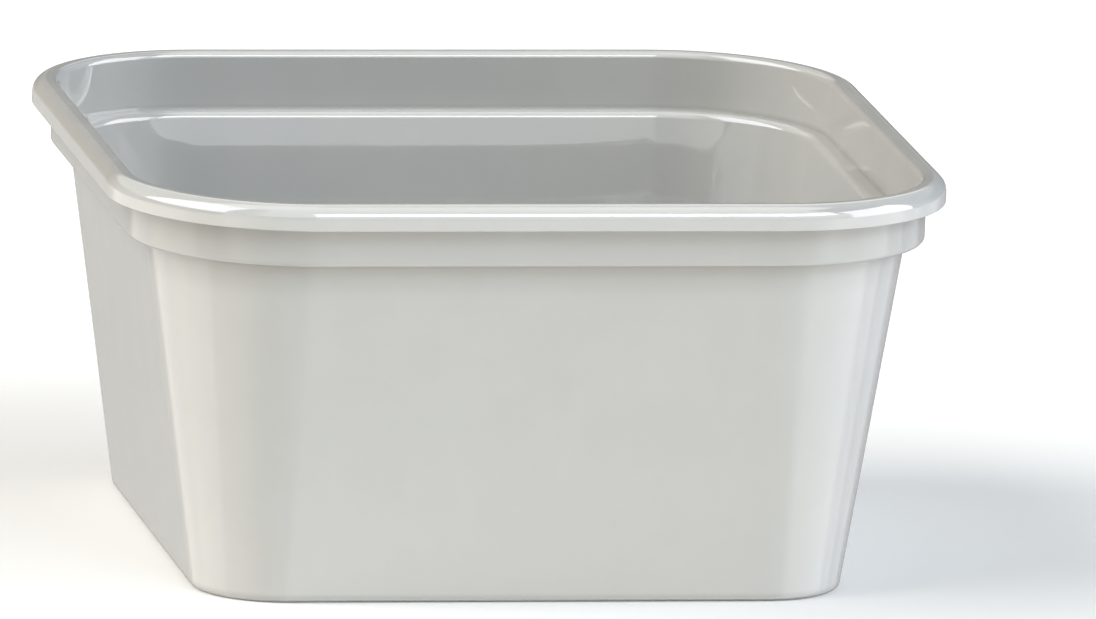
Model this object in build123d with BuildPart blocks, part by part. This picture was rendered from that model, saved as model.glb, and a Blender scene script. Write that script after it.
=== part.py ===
from build123d import *
import os

# Open-top wash tub for cleaning resin prints: one injection-moulded plastic shell.
# From the bench up it has a square base with rounded corners and a shallow
# push-up inside its foot ring, four flat drafted walls joined by conical
# corners, an outward step (which is a flat ledge on the inside), a near-vertical
# band, and a rolled rim whose skirt hangs clear of the band all the way round.
#
# Frame: origin at the centre of the base, on the plane it stands on, +Z up.
# The plan is square, so X and Y are alike. All dimensions are in millimetres.
# HALF is half the width across the flats, CORNER the plan radius of the corners,
# and ROUND the radius of a softened edge.

# ---- overall ---------------------------------------------------------------
HEIGHT = 123.9              # bench to the top of the rim
WALL = 2.0                  # nominal wall thickness

# ---- heights ---------------------------------------------------------------
STEP_Z = 104.7              # underside of the outward step
LEDGE_Z = STEP_Z + WALL     # top of the ledge inside
SKIRT_Z = 116.5             # lower edge of the rim skirt
ROOF_Z = HEIGHT - WALL      # roof of the channel under the rim

# ---- drafted wall ----------------------------------------------------------
BASE_HALF = 97.0            # outer face carried down to the bench
BASE_CORNER = 25.5
WALL_TOP_HALF = 113.3       # outer face where it meets the step
WALL_TOP_CORNER = 44.2
# Outward growth per millimetre of height
HALF_SLOPE = (WALL_TOP_HALF - BASE_HALF) / STEP_Z
CORNER_SLOPE = (WALL_TOP_CORNER - BASE_CORNER) / STEP_Z
# The wall leans, so its thickness measured level is a little more than WALL
LEVEL_WALL = WALL * (1 + HALF_SLOPE**2) ** 0.5

BASE_ROUND = 2.0            # foot of the wall
FLOOR_ROUND = 4.0           # inside, floor to wall
STEP_INNER_ROUND = 0.7      # hollow corner between wall and step

# ---- band ------------------------------------------------------------------
BAND_HALF = 119.03          # outer face, at the step
BAND_CORNER = 49.9
BAND_OUTER_LEAN = 0.15      # outer face leans out by this much up to the roof
BAND_INNER_LEAN = 0.3       # inner face leans out by this much up to the mouth
BAND_INNER_HALF = BAND_HALF - WALL
BAND_INNER_CORNER = BAND_CORNER - WALL

BAND_ROUND = 1.4            # outer edge of the step
LEDGE_ROUND = 2.4           # edge where the ledge rolls down into the tub

# ---- rim -------------------------------------------------------------------
RIM_HALF = 125.0            # 250 overall
RIM_CORNER = 55.9
SKIRT_WALL = 1.8            # thickness of the hanging skirt

RIM_OUTER_ROUND = 4.3       # outer shoulder
RIM_INNER_ROUND = 2.0       # inner shoulder
CHANNEL_ROUND = 2.5         # roof of the channel, at the skirt
SKIRT_ROUND = 0.45          # lower edges of the skirt

# ---- base ------------------------------------------------------------------
FOOT_WIDTH = 9.0            # ring that the tub stands on, with its rounded foot
PANEL_HALF = BASE_HALF - FOOT_WIDTH
PANEL_CORNER = BASE_CORNER - FOOT_WIDTH
PUSH_UP = 0.8               # how far the panel is raised inside the ring
PUSH_UP_ROUND = 0.4
GATE_RADIUS = 1.5           # moulding gate, left as a low round nub under the base
GATE_HEIGHT = 0.45
GATE_ROUND = 0.25


def rounded_square(half, corner):
    """Draw a rounded square in the sketch block that calls this."""
    RectangleRounded(2 * half, 2 * half, corner)


def inner_wall_section(z):
    """Draw the outline of the drafted wall's inner face at height z."""
    rounded_square(
        BASE_HALF + HALF_SLOPE * z - LEVEL_WALL,
        BASE_CORNER + CORNER_SLOPE * z - LEVEL_WALL,
    )


def level_edges(builder, z, tol=0.01):
    """The edges whose centres are at height z."""
    return builder.edges().filter_by_position(Axis.Z, z - tol, z + tol)


def opening_edges(builder, z, tol=0.01):
    """The edges round the opening in the level face at height z."""
    faces = builder.faces().filter_by(Axis.Z).filter_by_position(Axis.Z, z - tol, z + tol)
    return faces[0].inner_wires().edges()


def make_hollow():
    """The space inside the tub, from its floor up through the mouth.

    It is cut from the shell in one go, so its own edges carry the inner radii.
    """
    with BuildPart() as hollow:
        # Drafted part, from the floor to the ledge
        with BuildSketch(Plane.XY.offset(WALL)):
            inner_wall_section(WALL)
        with BuildSketch(Plane.XY.offset(LEDGE_Z)):
            inner_wall_section(LEDGE_Z)
        loft(ruled=True)

        # Inside of the band, from the ledge up through the mouth
        with BuildSketch(Plane.XY.offset(LEDGE_Z)):
            rounded_square(BAND_INNER_HALF, BAND_INNER_CORNER)
        with BuildSketch(Plane.XY.offset(HEIGHT)):
            rounded_square(BAND_INNER_HALF + BAND_INNER_LEAN, BAND_INNER_CORNER + BAND_INNER_LEAN)
        loft(ruled=True)

        fillet(level_edges(hollow, WALL), radius=FLOOR_ROUND)
        # The ledge's inner edge is rolled; its hollow corner at the band stays sharp
        fillet(opening_edges(hollow, LEDGE_Z), radius=LEDGE_ROUND)

        # The floor panel stands up inside the foot ring, matching the push-up below
        with BuildSketch(Plane.XY.offset(WALL)):
            rounded_square(PANEL_HALF, PANEL_CORNER)
        extrude(amount=PUSH_UP, mode=Mode.SUBTRACT)
        fillet(level_edges(hollow, WALL + PUSH_UP), radius=PUSH_UP_ROUND)
    return hollow.part


def make_push_up():
    """The shallow space under the base panel, inside the foot ring."""
    with BuildPart() as push_up:
        with BuildSketch(Plane.XY):
            rounded_square(PANEL_HALF, PANEL_CORNER)
        extrude(amount=PUSH_UP)
        fillet(level_edges(push_up, PUSH_UP), radius=PUSH_UP_ROUND)
    return push_up.part


def make_wash_tub(hollow, push_up):
    """The shell, built solid from the rim down and then hollowed out."""
    with BuildPart() as tub:
        # Rolled rim: a cap with a hanging skirt, filled in across the mouth for now
        with BuildSketch(Plane.XY.offset(SKIRT_Z)):
            rounded_square(RIM_HALF, RIM_CORNER)
        extrude(amount=HEIGHT - SKIRT_Z)
        fillet(level_edges(tub, HEIGHT), radius=RIM_OUTER_ROUND)
        with BuildSketch(Plane.XY.offset(SKIRT_Z)):
            rounded_square(RIM_HALF - SKIRT_WALL, RIM_CORNER - SKIRT_WALL)
        extrude(amount=ROOF_Z - SKIRT_Z, mode=Mode.SUBTRACT)
        fillet(level_edges(tub, ROOF_Z), radius=CHANNEL_ROUND)
        fillet(level_edges(tub, SKIRT_Z), radius=SKIRT_ROUND)

        # Band, from the step up into the roof of the rim
        with BuildSketch(Plane.XY.offset(STEP_Z)):
            rounded_square(BAND_HALF, BAND_CORNER)
        with BuildSketch(Plane.XY.offset(ROOF_Z)):
            rounded_square(BAND_HALF + BAND_OUTER_LEAN, BAND_CORNER + BAND_OUTER_LEAN)
        loft(ruled=True)
        fillet(level_edges(tub, STEP_Z), radius=BAND_ROUND)

        # Drafted wall, from the bench to the step
        with BuildSketch(Plane.XY):
            rounded_square(BASE_HALF, BASE_CORNER)
        with BuildSketch(Plane.XY.offset(STEP_Z)):
            rounded_square(WALL_TOP_HALF, WALL_TOP_CORNER)
        loft(ruled=True)
        fillet(opening_edges(tub, STEP_Z), radius=STEP_INNER_ROUND)
        fillet(level_edges(tub, 0.0), radius=BASE_ROUND)

        # Hollow it out, and round the inner shoulder of the rim
        add(hollow, mode=Mode.SUBTRACT)
        fillet(opening_edges(tub, HEIGHT), radius=RIM_INNER_ROUND)

        # Push the base panel up, and leave the gate's nub under its middle
        add(push_up, mode=Mode.SUBTRACT)
        with BuildSketch(Plane.XY.offset(PUSH_UP)):
            Circle(GATE_RADIUS)
        extrude(amount=-GATE_HEIGHT)
        fillet(level_edges(tub, PUSH_UP - GATE_HEIGHT), radius=GATE_ROUND)
    return tub.part


wash_tub = make_wash_tub(make_hollow(), make_push_up())
wash_tub.label = "wash_tub"
os.makedirs("parts", exist_ok=True)
export_step(wash_tub, "parts/wash_tub.step")
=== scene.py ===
"""Resin wash tub: one glossy moulded shell standing on a plain pale studio floor.

The tub is a square with rounded corners, centred on the Z axis, with its foot on z = 0
and its open top up. The camera looks at it from the -Y side. Scene units are metres;
the shell's tables are in millimetres.
"""
import bpy
import math
from mathutils import Matrix, Vector


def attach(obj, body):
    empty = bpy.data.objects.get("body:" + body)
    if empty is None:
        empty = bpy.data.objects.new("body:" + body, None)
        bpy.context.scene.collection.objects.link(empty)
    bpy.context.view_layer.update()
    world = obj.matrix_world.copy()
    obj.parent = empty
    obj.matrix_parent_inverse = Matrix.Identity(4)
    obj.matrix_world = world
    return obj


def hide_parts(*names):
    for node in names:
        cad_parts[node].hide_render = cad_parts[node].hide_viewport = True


MM = 0.001

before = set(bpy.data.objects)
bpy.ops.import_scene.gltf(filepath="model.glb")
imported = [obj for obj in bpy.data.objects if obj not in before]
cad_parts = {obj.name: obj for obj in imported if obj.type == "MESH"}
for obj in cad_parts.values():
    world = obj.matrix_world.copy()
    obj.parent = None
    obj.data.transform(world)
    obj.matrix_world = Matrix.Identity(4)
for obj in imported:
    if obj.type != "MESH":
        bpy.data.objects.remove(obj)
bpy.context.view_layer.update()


# ---------------------------------------------------------------- shader helpers
def operator(operation, swapped=False):
    """A method that adds a Math node for one Python operator."""
    def apply(self, other=0.0):
        pair = (other, self) if swapped else (self, other)
        return self.tree.math(operation, *pair)
    return apply


class Value:
    """A number in a shader. Arithmetic on it adds the matching nodes to its tree."""

    def __init__(self, tree, socket):
        self.tree = tree
        self.socket = socket

    __add__ = operator("ADD")
    __radd__ = operator("ADD", swapped=True)
    __sub__ = operator("SUBTRACT")
    __mul__ = operator("MULTIPLY")
    __truediv__ = operator("DIVIDE")
    __mod__ = operator("MODULO")
    __pow__ = operator("POWER")
    __abs__ = operator("ABSOLUTE")

    def remap(self, start, end, low, high, kind="SMOOTHSTEP"):
        """Goes from low to high as the value goes from start to end, and holds outside."""
        node = self.tree.node(
            "ShaderNodeMapRange", {"interpolation_type": kind, "clamp": True},
            {"Value": self, "From Min": start, "From Max": end, "To Min": low, "To Max": high})
        return Value(self.tree, node.outputs["Result"])

    def rise(self, start, end, kind="SMOOTHSTEP"):
        return self.remap(start, end, low=0.0, high=1.0, kind=kind)

    def fall(self, start, end, kind="SMOOTHSTEP"):
        return self.remap(start, end, low=1.0, high=0.0, kind=kind)

    def near(self, at, within):
        """1 at a value, fading to 0 a given distance to either side."""
        return abs(self - at).fall(start=0.0, end=within)


def largest(first, second):
    return first.tree.math("MAXIMUM", first, second)


def smallest(first, second):
    return first.tree.math("MINIMUM", first, second)


class Tree:
    """An emptied node tree, with calls that add a node and fill in its inputs."""

    def __init__(self, nodes_of):
        self.tree = nodes_of.node_tree
        self.tree.nodes.clear()

    def node(self, kind, settings=None, inputs=None):
        node = self.tree.nodes.new(kind)
        for name, value in (settings or {}).items():
            setattr(node, name, value)
        for key, value in (inputs or {}).items():
            self.put(node.inputs[key], value)
        return node

    def put(self, socket, value):
        if isinstance(value, Value):
            value = value.socket
        if isinstance(value, bpy.types.NodeSocket):
            self.tree.links.new(value, socket)
        elif isinstance(value, (tuple, list)) and len(value) == 3 and socket.type == "RGBA":
            socket.default_value = (*value, 1.0)
        else:
            socket.default_value = value

    def math(self, operation, first, second=0.0):
        node = self.node("ShaderNodeMath", {"operation": operation}, {0: first, 1: second})
        return Value(self, node.outputs[0])

    def vector(self, operation, inputs):
        return self.node("ShaderNodeVectorMath", {"operation": operation}, inputs).outputs

    def split(self, vector):
        parts = self.node("ShaderNodeSeparateXYZ", None, {0: vector}).outputs
        return [Value(self, parts[axis]) for axis in "XYZ"]

    def mix(self, amount, under, over):
        # inputs 6 and 7 and output 2 are the node's colour sockets
        return self.node("ShaderNodeMix", {"data_type": "RGBA", "clamp_factor": True},
                         {0: amount, 6: under, 7: over}).outputs[2]


def new_material(name):
    material = bpy.data.materials.new(name)
    material.use_nodes = True
    return material


def new_object(name, data):
    made = bpy.data.objects.new(name, data)
    bpy.context.scene.collection.objects.link(made)
    return made


# ------------------------------------------------------------ studio surroundings
# The light is a plain soft studio, drawn as directions only. Azimuth 0 is straight in
# front of the tub (towards -Y) and grows towards +X; elevation is above the horizon.
# Angles are in degrees.
#   rings: low, mid and high cover bands of elevation, from the bottom up; near is added
#       to low. A line is (azimuth where it starts, softness of that start, colour).
#   zenith: the colour overhead.
#   panels: (azimuth, half its width, elevation, half its height, edge softness, colour).

# what glossy surfaces mirror
MIRRORED = {
    "low": [(-152, 6, (1.37, 1.35, 1.28)), (-120, 6, (1.73, 1.63, 1.46)),
            (-80, 0.7, (1.35, 1.25, 1.06)), (-62, 8, (1.42, 1.31, 1.08)),
            (-42, 8, (1.25, 1.16, 0.94)), (-18, 8, (1.41, 1.32, 1.08)),
            (8, 8, (1.89, 1.83, 1.59)), (34, 8, (2.53, 2.49, 2.30)),
            (60, 8, (2.50, 2.50, 2.39)), (92, 5, (1.61, 1.58, 1.58)),
            (109, 1.5, (1.06, 1.02, 1.03)), (114, 1.5, (1.06, 1.08, 1.09)),
            (135, 6, (0.46, 0.44, 0.45)), (160, 3, (0.22, 0.22, 0.23)),
            (177, 2, (0.56, 0.56, 0.55))],
    "near": [(-53, 4, (0.46, 0.48, 0.50)), (5, 4, (0.30, 0.31, 0.32)), (50, 4, (0.0, 0.0, 0.0))],
    "mid": [(-152, 2, (0.24, 0.26, 0.30)), (-116, 2, (0.12, 0.12, 0.12)),
            (-53, 2, (1.28, 1.30, 1.28)), (5, 2, (1.70, 1.75, 1.76)),
            (99, 2, (0.54, 0.62, 0.73)), (120, 2, (0.25, 0.28, 0.34)),
            (160, 2, (0.27, 0.27, 0.26)), (177, 2, (0.19, 0.18, 0.16))],
    "high": [(-116, 2, (1.10, 1.15, 1.22)), (-32, 8, (2.45, 2.52, 2.48)),
             (5, 2, (2.35, 2.45, 2.35)), (47, 2, (0.32, 0.32, 0.32)),
             (100, 2, (0.58, 0.64, 0.72)), (160, 2, (1.55, 1.55, 1.50)),
             (177, 2, (0.95, 0.95, 0.92))],
    "zenith": (2.75, 2.80, 2.74),
    "panels": [(-84.5, 31.5, 42.5, 24.5, 1, (5.00, 5.20, 5.55)),
               (74.5, 24.5, 20.0, 22.0, 1, (5.35, 5.30, 5.35)),
               (27.5, 22.5, 18.0, 8.0, 4, (2.45, 2.52, 2.50)),
               (24.5, 19.5, 35.5, 10.5, 1, (7.60, 7.95, 7.85))],
}
# what lights the scene
LIGHTING = {
    "low": [(0, 5, (0.4, 0.4, 0.4)), (90, 5, (0.4, 0.4, 0.4))],
    "near": [(0, 5, (0.0, 0.0, 0.0)), (90, 5, (0.0, 0.0, 0.0))],
    "mid": [(-116, 2, (2.30, 2.02, 1.52)), (-53, 2, (0.06, 0.06, 0.06)),
            (99, 2, (0.12, 0.12, 0.12))],
    "high": [(-53, 2, (0.22, 0.25, 0.30)), (5, 2, (0.50, 0.47, 0.42)),
             (47, 2, (0.10, 0.10, 0.10)), (100, 2, (0.22, 0.22, 0.24))],
    "zenith": (0.70, 0.70, 0.62),
    "panels": [(-100.5, 15.5, 42.5, 24.5, 2, (4.65, 4.52, 4.25)),
               (-69.0, 16.0, 42.5, 24.5, 2, (3.00, 2.94, 2.78)),
               (74.5, 24.5, 9.0, 11.0, 2, (2.55, 2.70, 2.93)),
               (74.5, 24.5, 31.0, 11.0, 2, (3.75, 3.95, 4.25)),
               (24.5, 19.5, 35.5, 10.5, 2, (3.25, 3.66, 3.92))],
}
RAMP_RANGE = 8.0  # ramp colours stay between 0 and 1, so they hold the colour over this
BACKDROP = (1.0, 1.0, 1.0)  # what the camera sees past the floor


class StudioTree(Tree):
    """The world's nodes, with the direction looked in as azimuth and elevation."""

    def __init__(self, world):
        super().__init__(world)
        x, y, z = self.split(self.node("ShaderNodeTexCoord").outputs["Generated"])
        self.azimuth = self.math("ARCTAN2", x, y * -1.0) * (180.0 / math.pi)
        self.elevation = self.math("ARCSINE", z) * (180.0 / math.pi)
        self.turn = self.azimuth / 360.0 + 0.5

    def ring(self, entries):
        """Colours all the way round, each holding until the next one starts."""
        node = self.node("ShaderNodeValToRGB", None, {"Fac": self.turn})
        ramp = node.color_ramp
        ramp.interpolation = "EASE"
        last = entries[-1][2]
        stops = [(-180.0, last)]
        for start, soft, colour in entries:
            stops += [(start - soft, stops[-1][1]), (start + soft, colour)]
        stops.append((180.0, last))
        while len(ramp.elements) > 1:
            ramp.elements.remove(ramp.elements[-1])
        for i, (azimuth, colour) in enumerate(stops):
            position = (azimuth + 180.0) / 360.0
            stop = ramp.elements.new(position) if i else ramp.elements[0]
            stop.position = position
            stop.color = (*[part / RAMP_RANGE for part in colour], 1.0)
        return self.vector("SCALE", {0: node.outputs[0], "Scale": RAMP_RANGE})[0]

    def panel(self, below, azimuth, half_width, elevation, half_height, soft, colour):
        """A soft-edged light panel, laid over what is below."""
        # the difference in azimuth, wrapped to -180..180
        aside = (self.azimuth - azimuth + 540.0) % 360.0 - 180.0
        across = abs(aside).fall(half_width - soft, half_width + soft)
        upright = abs(self.elevation - elevation).fall(half_height - soft, half_height + soft)
        return self.mix(across * upright, below, colour)

    def surroundings(self, low, near, mid, high, zenith, panels):
        height = self.elevation
        glow = self.vector("SCALE", {0: self.ring(near),
                                     "Scale": height.rise(start=-18.0, end=-12.0)})[0]
        colour = self.vector("ADD", {0: self.ring(low), 1: glow})[0]
        colour = self.mix(height.rise(start=-6.0, end=-2.0), colour, self.ring(mid))
        colour = self.mix(height.rise(start=16.0, end=20.0), colour, self.ring(high))
        colour = self.mix(height.rise(start=64.0, end=70.0), colour, zenith)
        for entry in panels:
            colour = self.panel(colour, *entry)
        return colour


def build_world():
    world = bpy.data.worlds.new("studio")
    bpy.context.scene.world = world
    world.use_nodes = True
    tree = StudioTree(world)
    mirrored = tree.surroundings(**MIRRORED)
    lighting = tree.surroundings(**LIGHTING)
    ray = tree.node("ShaderNodeLightPath").outputs
    seen = tree.mix(ray["Is Glossy Ray"], lighting, mirrored)
    seen = tree.mix(ray["Is Camera Ray"], seen, BACKDROP)
    studio = tree.node("ShaderNodeBackground", None, {"Color": seen, "Strength": 1.0})
    tree.node("ShaderNodeOutputWorld", None, {"Surface": studio.outputs[0]})


# ------------------------------------------------------------------------ floor
FLOOR_HALF = 4.0
FLOOR_Z = -0.0002  # just under the foot
FLOOR_WHITE = (1.08,) * 3  # a little over-bright, so that the open floor is plain white
FLOOR_SHADED_NEAR = (0.965,) * 3  # painted shade: darker round the tub, so that its shadows stay soft grey
FLOOR_BOUNCE = (0.95,) * 3  # what all but camera rays meet
NEAR_END, WHITE_START = 0.19, 0.34  # distances from the middle


def floor_white():
    material = new_material("floor_white")
    tree = Tree(material)
    to_camera = tree.node("ShaderNodeLightPath").outputs["Is Camera Ray"]
    place = tree.node("ShaderNodeTexCoord").outputs["Object"]
    away = Value(tree, tree.vector("LENGTH", {0: place})["Value"])
    # painted shade: the floor darker round the tub, plain white further out
    shade = tree.mix(away.rise(NEAR_END, WHITE_START), FLOOR_SHADED_NEAR, FLOOR_WHITE)
    surface = tree.node("ShaderNodeBsdfDiffuse", None, {
        "Color": tree.mix(to_camera, FLOOR_BOUNCE, shade), "Roughness": 0.0})
    tree.node("ShaderNodeOutputMaterial", None, {"Surface": surface.outputs[0]})
    return material


def build_floor():
    mesh = bpy.data.meshes.new("floor")
    corners = [(-1, -1), (1, -1), (1, 1), (-1, 1)]
    mesh.from_pydata([(x * FLOOR_HALF, y * FLOOR_HALF, FLOOR_Z) for x, y in corners],
                     [], [(0, 1, 2, 3)])
    floor = new_object("floor", mesh)
    mesh.materials.append(floor_white())
    floor.visible_glossy = False  # the world's low ring is mirrored in its place


# ---------------------------------------------------------------------- plastic
# Glossy off-white moulded plastic: a hard, almost mirror-clear skin over an even
# pigment, with faint cloudiness, flow marks, moulding waviness, handling haze,
# hairlines, and rubbed edges where a tub like this is stacked, slid and gripped.
COOL = (0.499, 0.501, 0.495)
WARM = (0.506, 0.501, 0.486)
FLOW = (0.491, 0.489, 0.478)
# pale tint of rubbed wear and nicks, also laid on as painted light on the skirt and low down
CHALK_AND_PAINTED_LIGHT = (0.60, 0.60, 0.592)
MOTTLE = (0.482, 0.482, 0.471)
# colour of the painted shade under the step and the skirt and along the foot
PAINTED_SHADE = (0.350, 0.346, 0.334)
# plan of the outside of the band: half-width and corner radius
BAND_HALF, BAND_CORNER = 119.1 * MM, 49.9 * MM


class PlasticTree(Tree):
    """The plastic's nodes, with the place on the tub and its distance outside the band."""

    def __init__(self, material):
        super().__init__(material)
        self.place = self.node("ShaderNodeTexCoord").outputs["Object"]
        self.x, self.y, self.z = self.split(self.place)
        self.gap = self.plan_gap(BAND_HALF, BAND_CORNER)

    def plan_gap(self, half, radius):
        """Distance outside a rounded square of that half-width and corner radius."""
        def past_straight(axis):
            return abs(axis) - (half - radius)

        out_x = largest(past_straight(self.x), 0.0)
        out_y = largest(past_straight(self.y), 0.0)
        reach = self.math("SQRT", out_x * out_x + out_y * out_y)
        inside = smallest(largest(past_straight(self.x), past_straight(self.y)), 0.0)
        return reach + inside - radius

    def noise(self, scale, detail=2.0, rough=0.5, stretch=(1, 1, 1), shift=(0, 0, 0)):
        place = self.node("ShaderNodeMapping", {"vector_type": "POINT"}, {
            "Vector": self.place, "Location": shift, "Scale": stretch}).outputs[0]
        node = self.node("ShaderNodeTexNoise", {"noise_dimensions": "3D"}, {
            "Vector": place, "Scale": scale, "Detail": detail, "Roughness": rough,
            "Lacunarity": 2.0})
        return Value(self, node.outputs["Fac"])

    def bump(self, height, distance, inputs=None, invert=False):
        return self.node("ShaderNodeBump", {"invert": invert}, {
            "Strength": 1.0, "Distance": distance, "Height": height, **(inputs or {})}).outputs[0]


def rubbed_places(tree):
    """Where hands, stacking and sliding rub the tub."""
    z, gap = tree.z, tree.gap
    foot = z.fall(start=0.1 * MM, end=1.0 * MM)
    top = z.rise(start=122.4 * MM, end=123.7 * MM)
    skirt_lip = (z.near(at=116.6 * MM, within=0.8 * MM)
                 * gap.rise(start=3.0 * MM, end=4.5 * MM))
    band_edge = z.near(at=105.7 * MM, within=0.6 * MM) * gap.near(at=0.0, within=0.7 * MM)
    ledge_edge = (z.near(at=106.3 * MM, within=1.2 * MM)
                  * gap.near(at=-7.0 * MM, within=2.2 * MM))
    # the factors are how strongly each place is rubbed
    return largest(largest(foot, top * 0.75),
                   largest(skirt_lip, largest(band_edge * 0.15, ledge_edge * 0.7)))


def painted_shade_places(tree):
    """Painted shade: darker up under the step and the skirt, more so round the corners, along the
    foot, and where the inner band meets the ledge."""
    z, gap = tree.z, tree.gap
    corner = smallest(abs(tree.x), abs(tree.y)).rise(start=60.0 * MM, end=84.0 * MM)
    outer_wall = gap.rise(start=-7.6 * MM, end=-6.9 * MM)
    climb = z.rise(start=80.0 * MM, end=104.6 * MM, kind="LINEAR")
    # painted shade: a broad faint fall-off plus a tight dense one, both darkest at the step
    shade_falloff = climb ** 2.0 * 0.34 + climb ** 9.0 * 0.46
    under_step = outer_wall * z.fall(start=104.75 * MM, end=104.8 * MM) * shade_falloff
    outer_band = (gap.rise(start=-1.3 * MM, end=-0.8 * MM)
                  * gap.fall(start=1.5 * MM, end=2.5 * MM))
    under_rim = (outer_band * z.rise(start=103.5 * MM, end=104.5 * MM)
                 * z.remap(start=104.0 * MM, end=117.0 * MM, low=0.20, high=0.58, kind="LINEAR")
                 * (1.0 + corner * 0.45))
    step_line = z.near(at=103.8 * MM, within=1.7 * MM) * (
        gap.rise(start=-7.3 * MM, end=-6.8 * MM) * gap.fall(start=-1.2 * MM, end=-0.6 * MM))
    foot_line = (z.remap(start=1.2 * MM, end=3.0 * MM, low=0.88, high=0.0)
                 * gap.rise(start=-26.0 * MM, end=-24.5 * MM))
    ledge_line = (z.near(at=106.9 * MM, within=1.6 * MM)
                  * gap.near(at=-2.1 * MM, within=1.9 * MM))
    return largest(largest(under_step, under_rim),
                   largest(step_line * 0.95, largest(foot_line, ledge_line * 0.5)))


def hairlines(tree):
    """Thin level lines of long stretched noise, in two directions, in patches, and
    fewer higher up."""
    def hairs(scale, stretch, shift, thin):
        level = tree.noise(scale, detail=0.0, stretch=stretch, shift=shift)
        line = abs(level - 0.5).fall(start=0.0, end=thin, kind="LINEAR")
        return line * tree.noise(scale=26.0, shift=shift).rise(start=0.56, end=0.70)

    hair = largest(
        hairs(scale=60.0, stretch=(0.35, 0.5, 3.2), shift=(0.31, 0.07, 0.55), thin=0.006),
        hairs(scale=48.0, stretch=(2.6, 2.4, 0.45), shift=(0.83, 0.41, 0.12), thin=0.005))
    return hair * tree.z.remap(start=4.0 * MM, end=40.0 * MM, low=1.0, high=0.22)


def pigment(tree, wear, nicks):
    """Faint clouds and flow marks up the walls, painted shade in the hollows, painted light on
    the skirt and low down, chalkier where rubbed.
    """
    z = tree.z
    # painted shade under the step, the skirt, the foot and the ledge
    painted_shade_amount = painted_shade_places(tree)
    # painted light: the outer face of the skirt made paler
    painted_skirt_light = (tree.gap.rise(start=4.6 * MM, end=5.4 * MM)
           * z.fall(start=119.0 * MM, end=122.0 * MM))
    clouds = tree.noise(scale=17.0, detail=3.0, rough=0.55, shift=(0.2, 0.9, 0.4))
    flow = tree.noise(scale=85.0, stretch=(1.0, 1.0, 0.10))
    blotches = tree.noise(scale=52.0, rough=0.55, shift=(0.4, 0.2, 0.9))
    body = tree.mix(clouds.rise(start=0.36, end=0.64), COOL, WARM)
    # (how much of the tint covers what is under it, tint)
    layers = [
        (flow.rise(start=0.35, end=0.65) * 0.30, FLOW),
        (blotches.rise(start=0.38, end=0.62) * 0.45, MOTTLE),
        # painted shade in the hollows
        (painted_shade_amount, PAINTED_SHADE),
        # painted light on the skirt
        (painted_skirt_light * 0.28, CHALK_AND_PAINTED_LIGHT),
        # painted light: paler towards the bottom of the walls
        (z.remap(start=3.0 * MM, end=55.0 * MM, low=0.26, high=0.0, kind="LINEAR"), CHALK_AND_PAINTED_LIGHT),
        (wear * 0.22, CHALK_AND_PAINTED_LIGHT),
        (nicks * 0.45, CHALK_AND_PAINTED_LIGHT),
    ]
    for amount, tint in layers:
        body = tree.mix(amount, body, tint)
    return body


def relief(tree, nicks, hair):
    """Moulding waviness, fine skin, then the nicks and hairlines cut into it."""
    wave = tree.bump(tree.noise(scale=24.0, detail=1.0, rough=0.4), distance=0.012 * MM)
    skin = tree.bump(tree.noise(scale=430.0), distance=0.0010 * MM, inputs={"Normal": wave})
    cuts = nicks * 0.012 + hair * 0.004  # depths in mm
    return tree.bump(cuts, distance=1.0 * MM, inputs={"Normal": skin}, invert=True)


def tub_plastic():
    material = new_material("tub_plastic")
    tree = PlasticTree(material)
    rubbed = rubbed_places(tree)
    patchy = tree.noise(scale=34.0, detail=3.0, rough=0.6).rise(start=0.42, end=0.66)
    nicked = tree.noise(scale=620.0, detail=4.0, rough=0.62).rise(start=0.52, end=0.72)
    wear = rubbed * (0.25 + patchy * 0.75)  # a quarter everywhere, the rest in patches
    nicks = wear * nicked
    hair = hairlines(tree)

    # clear gloss, made rougher by patches of handling haze and by each kind of damage
    haze = tree.noise(scale=42.0, detail=5.0, rough=0.6, shift=(0.6, 0.1, 0.7))
    roughness = (0.014 + haze.rise(start=0.45, end=0.75) * 0.020
                 + wear * 0.10 + nicks * 0.16 + hair * 0.16)
    surface = tree.node("ShaderNodeBsdfPrincipled", None, {
        "Base Color": pigment(tree, wear, nicks),
        "Roughness": roughness,
        "IOR": 1.5,
        "Specular IOR Level": 1.0,
        "Normal": relief(tree, nicks, hair),
    })
    tree.node("ShaderNodeOutputMaterial", None, {"Surface": surface.outputs[0]})
    return material


# ---------------------------------------------------------------------- the shell
# The tub is an even mesh: rings of points that follow the profile of the CAD shell,
# with the true surface normal at every face corner, so that the mirrored panels stay
# crisp on the small radii.
# Columns in mm: half-width, height, edge radius, offset of the corner arcs' centres.
# The profile runs out along the underside, up, over the rim and down to the floor.
PROFILE = [
    (88.00, 0.80, 0.40, 71.50),     # panel pushed up inside the foot ring
    (88.00, 0.00, 0.00, 71.50),
    (97.00, 0.00, 2.00, 71.50),     # foot
    (113.30, 104.70, 0.70, 69.10),  # drafted wall, up to the step
    (119.03, 104.70, 1.40, 69.13),  # step
    (119.18, 121.90, 0.00, 69.13),  # band, up to the roof of the rim
    (123.20, 121.90, 2.50, 69.10),
    (123.20, 116.50, 0.45, 69.10),  # skirt
    (125.00, 116.50, 0.45, 69.10),
    (125.00, 123.90, 4.30, 69.10),  # rim
    (117.33, 123.90, 2.00, 69.13),
    (117.03, 106.70, 0.00, 69.13),  # inside of the band, down to the ledge
    (111.587, 106.70, 2.40, 69.054),
    (95.287, 2.00, 4.00, 71.454),   # inside of the drafted wall, down to the floor
    (88.00, 2.00, 0.00, 71.50),
    (88.00, 2.80, 0.40, 71.50),     # floor panel
]
# innermost ring, under the base and on the floor: half-width and offset of arc centres
INNER_HALF, INNER_CENTRE = 30.0, 24.0
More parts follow.
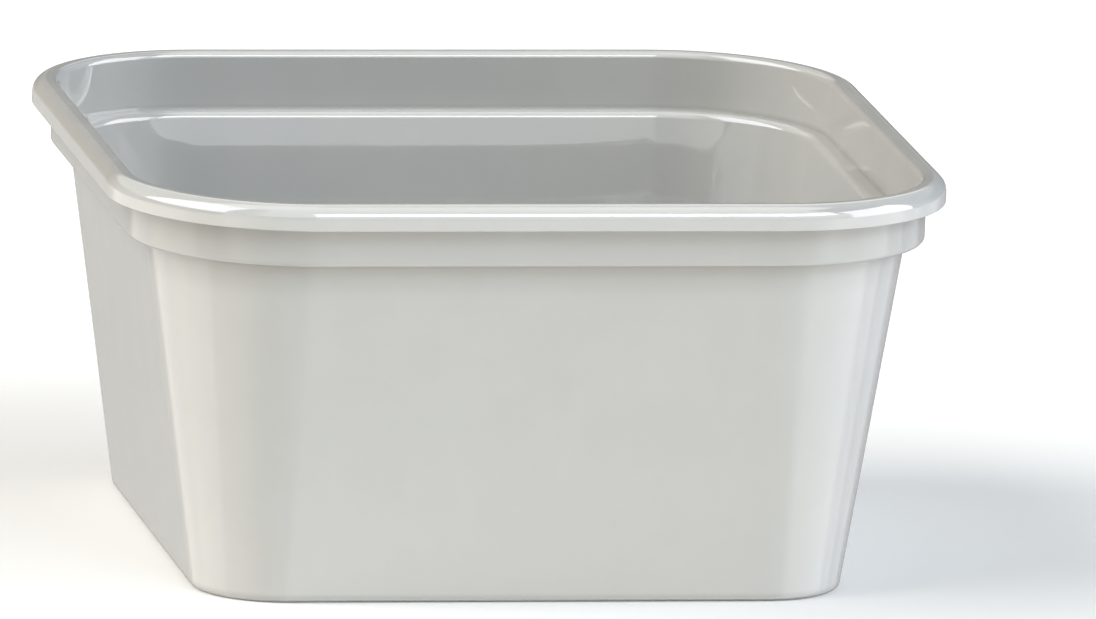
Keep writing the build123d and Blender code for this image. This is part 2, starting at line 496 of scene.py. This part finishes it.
# nub under the base: radius, height (mm) and lean of its normal out from straight down
NUB = [(1.25, 0.350, 0.0), (1.346, 0.369, 22.5), (1.427, 0.423, 45.0),
       (1.481, 0.504, 67.5), (1.5, 0.60, 90.0), (1.5, 0.80, 90.0)]
CORNER, SIDE = 44, 14  # segments round a corner arc and along a straight side
PIECE = 9.0  # rough length of a piece of a straight run of the profile
FLAT_STEPS = 3  # steps across the flat middles

# points of a ring: (quarter turn, angle in it, share along the straight that follows)
AROUND = []
for quarter in range(4):
    AROUND += [(quarter, math.pi / 2 * k / CORNER, 0.0) for k in range(CORNER + 1)]
    AROUND += [(quarter, math.pi / 2, k / SIDE) for k in range(1, SIDE)]
COUNT = len(AROUND)


# A place on the profile is (half-width, height, centre offset); a heading is its rate
# of change per mm of profile.
def profile_length(start, end):
    return math.hypot(end[0] - start[0], end[1] - start[1])


def heading(start, end):
    length = profile_length(start, end)
    return tuple((b - a) / length for a, b in zip(start, end))


def between(start, end, part, whole):
    return tuple(a + (b - a) * part / whole for a, b in zip(start, end))


def straight_run(start, end, along):
    """The rings strictly between two places."""
    pieces = max(1, round(profile_length(start, end) / PIECE))
    return [(between(start, end, k, pieces), along, along) for k in range(1, pieces)]


def rounded_edge(start, end, came, went, radius, bend):
    """The rings of an edge radius that turns from one heading to the next."""
    steps = max(5, min(14, round(6 + radius * 3)))
    side = 1.0 if came[0] * went[1] - came[1] * went[0] > 0 else -1.0
    pivot_out = start[0] - came[1] * radius * side
    pivot_z = start[1] + came[0] * radius * side
    rings = []
    for k in range(steps + 1):
        share = k / steps
        angle = side * bend * share
        along = (came[0] * math.cos(angle) - came[1] * math.sin(angle),
                 came[0] * math.sin(angle) + came[1] * math.cos(angle),
                 came[2] + (went[2] - came[2]) * share)
        place = (pivot_out + along[1] * radius * side,
                 pivot_z - along[0] * radius * side,
                 start[2] + (end[2] - start[2]) * share)
        rings.append((place, along, along))
    return rings


def shell_rings():
    """Rings of (place, heading before it, heading after it), so that a sharp edge keeps
    its two normals."""
    places = [(half, height, centre) for half, height, _, centre in PROFILE]
    places.insert(0, (INNER_HALF, PROFILE[0][1], INNER_CENTRE))
    places.append((INNER_HALF, PROFILE[-1][1], INNER_CENTRE))
    headings = [heading(a, b) for a, b in zip(places, places[1:])]
    here = places[0]
    rings = [(here, None, headings[0])]
    for i, (_, _, radius, _) in enumerate(PROFILE):
        before, edge, after = places[i:i + 3]
        came, went = headings[i:i + 2]
        bend = math.acos(max(-1.0, min(1.0, came[0] * went[0] + came[1] * went[1])))
        cut = radius * math.tan(bend / 2)
        stop = between(edge, before, cut, profile_length(edge, before))
        leave = between(edge, after, cut, profile_length(edge, after))
        rings += straight_run(here, stop, came)
        if radius:
            rings += rounded_edge(stop, leave, came, went, radius, bend)
        else:
            rings.append((stop, came, went))
        here = leave
    rings += straight_run(here, places[-1], headings[-1])
    rings.append((places[-1], headings[-1], None))
    return rings


def spin(x, y, quarter):
    return ((x, y), (-y, x), (-x, -y), (y, -x))[quarter]


def ring_points(half, height, centre):
    radius = half - centre
    points = []
    for quarter, angle, share in AROUND:
        x, y = centre + radius * math.cos(angle), centre + radius * math.sin(angle)
        if share:
            x, y = centre + (-2 * centre) * share, half
        points.append((*spin(x, y, quarter), height))
    return points


def ring_normals(along):
    out, up, drift = along
    normals = []
    for quarter, angle, share in AROUND:
        x, y = up * math.cos(angle), up * math.sin(angle)
        z = -((out - drift) + drift * (math.cos(angle) + math.sin(angle)))
        if share:
            x, y, z = 0.0, up, -out
        normals.append(Vector((*spin(x, y, quarter), z)).normalized())
    return normals


class Skin:
    """A surface grown ring by ring, with a normal for every face corner."""

    def __init__(self):
        self.verts, self.faces, self.normals = [], [], []

    def ring(self, points):
        self.verts.extend(tuple(part * MM for part in point) for point in points)
        self.last = len(self.verts) - COUNT

    def strip(self, points, old_normals, new_normals):
        """Adds a ring and joins it to the one before."""
        old = self.last
        self.ring(points)
        new = self.last
        for i in range(COUNT):
            j = (i + 1) % COUNT
            self.faces.append((old + i, old + j, new + j, new + i))
            self.normals.extend((old_normals[i], old_normals[j], new_normals[j], new_normals[i]))


def grow_shell():
    skin = Skin()
    rings = shell_rings()
    base = ring_points(*rings[0][0])
    angles = [math.atan2(y, x) for x, y, _ in base]
    down, upward = [Vector((0, 0, -1))] * COUNT, [Vector((0, 0, 1))] * COUNT

    # underside: the nub, then flat rings out to the first ring of the profile
    skin.verts.append((0.0, 0.0, NUB[0][1] * MM))
    bent = None
    for radius, height, lean in NUB:
        circle = [(radius * math.cos(g), radius * math.sin(g), height) for g in angles]
        tilt = math.radians(lean)
        normals = [Vector((math.cos(g) * math.sin(tilt), math.sin(g) * math.sin(tilt),
                           -math.cos(tilt))) for g in angles]
        if bent is None:
            skin.ring(circle)
            for i in range(COUNT):
                skin.faces.append((0, skin.last + (i + 1) % COUNT, skin.last + i))
                skin.normals.extend(down[:3])
        else:
            skin.strip(circle, bent, normals)
        bent = normals
    for k in range(1, FLAT_STEPS + 1):
        share = k / FLAT_STEPS
        skin.strip([between(a, b, share, 1) for a, b in zip(circle, base)], down, down)

    for (_, _, went), (place, came, _) in zip(rings, rings[1:]):
        skin.strip(ring_points(*place), ring_normals(went), ring_normals(came))

    # the middle of the floor
    inner = ring_points(*rings[-1][0])
    for k in range(1, FLAT_STEPS):
        share = 1 - k / FLAT_STEPS
        skin.strip([(x * share, y * share, z) for x, y, z in inner], upward, upward)
    middle = len(skin.verts)
    skin.verts.append((0.0, 0.0, rings[-1][0][1] * MM))
    for i in range(COUNT):
        skin.faces.append((skin.last + i, skin.last + (i + 1) % COUNT, middle))
        skin.normals.extend(upward[:3])
    return skin


def build_shell():
    skin = grow_shell()
    mesh = bpy.data.meshes.new("wash_tub_shell")
    mesh.from_pydata(skin.verts, [], skin.faces)
    mesh.polygons.foreach_set("use_smooth", [True] * len(mesh.polygons))
    mesh.normals_split_custom_set([tuple(normal) for normal in skin.normals])
    mesh.update()
    tub = new_object("wash_tub_shell", mesh)
    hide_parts("wash_tub")
    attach(tub, "root")
    mesh.materials.append(tub_plastic())


# ----------------------------------------------------------------------- camera
AZIMUTH, ELEVATION, ROLL = [math.radians(a) for a in (-10.24735, 11.15560, 1.91085)]
# from the origin, along the camera's right, up and backward axes
SHIFT_RIGHT, SHIFT_UP, DISTANCE = 0.02224107, 0.06700096, 8.1520321


def build_camera():
    back = Vector((math.sin(AZIMUTH) * math.cos(ELEVATION),
                   -math.cos(AZIMUTH) * math.cos(ELEVATION), math.sin(ELEVATION)))
    level = Vector((math.cos(AZIMUTH), math.sin(AZIMUTH), 0.0))
    upright = back.cross(level)
    right = level * math.cos(ROLL) + upright * math.sin(ROLL)
    up = upright * math.cos(ROLL) - level * math.sin(ROLL)
    place = right * SHIFT_RIGHT + up * SHIFT_UP + back * DISTANCE
    data = bpy.data.cameras.new("camera")
    data.lens, data.sensor_width = 900.0, 36.0
    data.clip_start, data.clip_end = 0.1, 60.0
    camera = new_object("camera", data)
    rows = [[column[i] for column in (right, up, back, place)] for i in range(3)]
    camera.matrix_world = Matrix(rows + [[0, 0, 0, 1]])
    bpy.context.scene.camera = camera
    bpy.context.scene.view_settings.view_transform = "Standard"


build_world()
build_floor()
build_shell()
build_camera()
